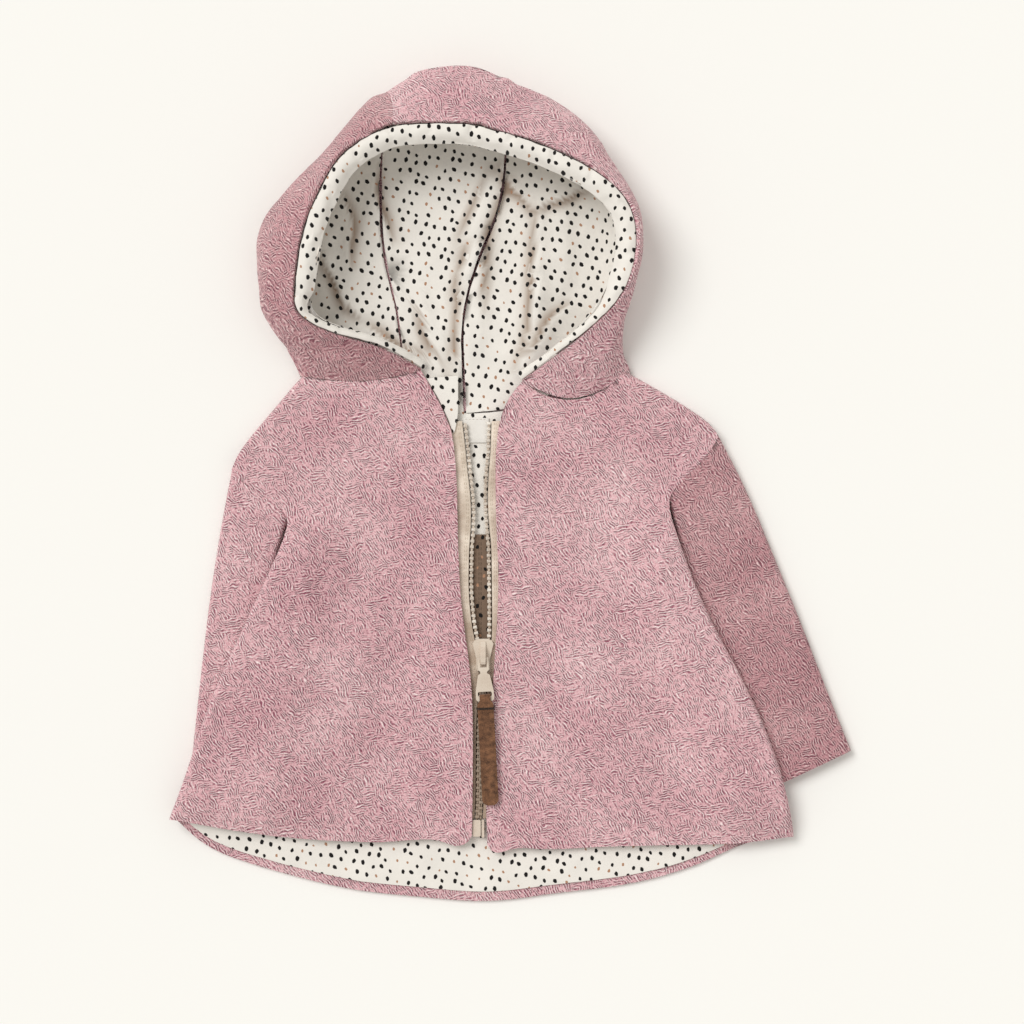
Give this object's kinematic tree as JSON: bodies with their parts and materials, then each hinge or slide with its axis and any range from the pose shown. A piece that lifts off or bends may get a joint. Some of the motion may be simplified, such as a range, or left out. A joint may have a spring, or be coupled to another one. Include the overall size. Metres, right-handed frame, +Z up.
{
  "type": "hooded jacket",
  "caption": "Child's hooded A-line jacket in boiled wool with dotted jersey lining, laid flat on its back, zip half open, hood standing open.",
  "frame": {"origin": "on the surface the jacket lies on, under the middle of its outline", "axes": "+Z up from the surface, out of the fronts; +Y towards the hood; +X towards the wearer's left"},
  "size_m": [0.451, 0.5512, 0.0517],
  "materials": {
    "boiled_wool": "matte felted wool, mottled dusty pink",
    "dotted_jersey": "matte off-white jersey with dark and tan dots",
    "woven_label": "smooth woven tape",
    "zip_tape": "woven beige tape",
    "moulded_plastic": "half-gloss beige",
    "leather": "matte brown suede",
    "dark_thread": "waxed thread"
  },
  "bodies": {
    "jacket": {"back": "boiled_wool", "front_right": "boiled_wool", "front_left": "boiled_wool", "sleeve_right": "boiled_wool", "sleeve_left": "boiled_wool", "hood_side_right": "boiled_wool", "hood_side_left": "boiled_wool", "hood_centre": "boiled_wool", "back_lining": "dotted_jersey", "hood_lining_right": "dotted_jersey", "hood_lining_centre": "dotted_jersey", "hood_lining_left": "dotted_jersey", "hood_binding": "dotted_jersey", "chin_guard": "dotted_jersey", "zip_underflap": "dotted_jersey", "neck_label": "woven_label", "zip_tape_right": "zip_tape", "zip_tape_left": "zip_tape", "zip_teeth_right": "moulded_plastic", "zip_teeth_left": "moulded_plastic", "zip_box": "moulded_plastic", "zip_pin": "moulded_plastic", "zip_slider": "moulded_plastic"},
    "pull": {"zip_pull": "moulded_plastic", "leather_tab": "leather", "tab_thread": "dark_thread"}
  },
  "joints": [
    {"name": "pull_swing", "type": "hinge", "parent": "jacket", "child": "pull", "pos_m": [-0.0178, -0.115, 0.0147], "axis": [-1, 0, 0], "range_deg": [0, 140]}
  ]
}
